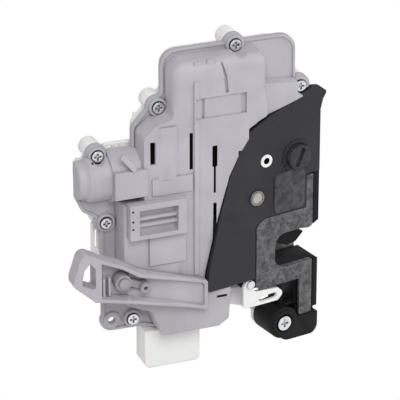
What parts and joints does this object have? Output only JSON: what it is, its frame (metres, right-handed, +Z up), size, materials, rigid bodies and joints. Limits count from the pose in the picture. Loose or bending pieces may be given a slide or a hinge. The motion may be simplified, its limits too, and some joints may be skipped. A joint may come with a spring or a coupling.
{
  "type": "car door lock",
  "caption": "Side door latch with lock housing: forked claw and pawl behind a steel plate, emergency rotor, release lever, cable bracket and connector shroud.",
  "frame": {"origin": "centre of the fixing bush on the front face of the latch cover", "axes": "+X to the right along the latch plate, -Y out of the plate towards the viewer, +Z up"},
  "size_m": [0.1598, 0.0533, 0.1962],
  "materials": {
    "housing_grey": "moulded",
    "housing_white": "moulded",
    "lever_white": "moulded",
    "seal_rubber": "satin",
    "zinc_steel": "satin",
    "spring_steel": "satin",
    "contact_brass": "satin",
    "lever_grey": "moulded",
    "motor_can": "satin",
    "gear_plastic": "moulded",
    "switch_black": "moulded",
    "cover_black": "moulded",
    "mottled_steel": "satin",
    "body_black": "moulded",
    "plate_steel": "satin",
    "claw_black": "moulded",
    "bush_white": "satin",
    "rotor_black": "moulded"
  },
  "bodies": {
    "frame": {"front_housing": "housing_grey", "rear_housing": "housing_white", "housing_seal": "seal_rubber", "cover_screws": "zinc_steel", "connector_socket": "housing_white", "plug_pins": "contact_brass", "cable_bracket": "housing_grey", "cable_lever_pin": "zinc_steel", "lock_motor": "motor_can", "sector_pin": "zinc_steel", "micro_switches": "switch_black", "contact_strips": "contact_brass", "latch_cover": "cover_black", "face_plate": "mottled_steel", "latch_body": "body_black", "back_plate": "plate_steel", "claw_pin": "zinc_steel", "pawl_pin": "zinc_steel", "claw_spring": "spring_steel", "pawl_spring": "spring_steel", "bump_stop": "seal_rubber", "fixing_bush": "bush_white", "release_pin": "zinc_steel", "strap_screw": "zinc_steel"},
    "claw": {"claw": "claw_black"},
    "pawl": {"pawl": "plate_steel"},
    "rotor": {"lock_rotor": "rotor_black"},
    "release": {"release_lever": "lever_white"},
    "cable_arm": {"cable_lever": "lever_grey"},
    "sector": {"lock_sector": "gear_plastic"},
    "worm_shaft": {"worm": "gear_plastic"}
  },
  "joints": [
    {"name": "claw_turn", "type": "hinge", "parent": "frame", "child": "claw", "pos_m": [0.007, 0.0074, -0.037], "axis": [0, -1, 0], "range_deg": [-50, 0], "stiffness_Nm_per_rad": 0.02, "springref_deg": 11.46},
    {"name": "pawl_turn", "type": "hinge", "parent": "frame", "child": "pawl", "pos_m": [-0.0062, 0.0074, -0.0212], "axis": [0, -1, 0], "range_deg": [0, 9]},
    {"name": "rotor_turn", "type": "hinge", "parent": "frame", "child": "rotor", "pos_m": [0.0205, 0.004, -0.0015], "axis": [0, -1, 0], "range_deg": [0, 90]},
    {"name": "release_turn", "type": "hinge", "parent": "frame", "child": "release", "pos_m": [-0.009, 0.0026, -0.075], "axis": [0, -1, 0], "range_deg": [-15, 0], "stiffness_Nm_per_rad": 0.02, "springref_deg": 5.73},
    {"name": "cable_turn", "type": "hinge", "parent": "frame", "child": "cable_arm", "pos_m": [-0.09053, 0.00697, -0.053], "axis": [-0.2079, -0.9781, 0], "range_deg": [-12, 12]},
    {"name": "sector_turn", "type": "hinge", "parent": "frame", "child": "sector", "pos_m": [-0.05612, 0.02215, 0.0143], "axis": [-0.2079, -0.9781, 0], "range_deg": [-25, 25]},
    {"name": "worm_turn", "type": "hinge", "parent": "frame", "child": "worm_shaft", "pos_m": [-0.05661, 0.02226, 0.0015], "axis": [0.9781, -0.2079, 0], "range_deg": [-600, 600]}
  ],
  "couplings": [
    {"joint": "worm_turn", "follows": "sector_turn", "ratio": -24}
  ]
}
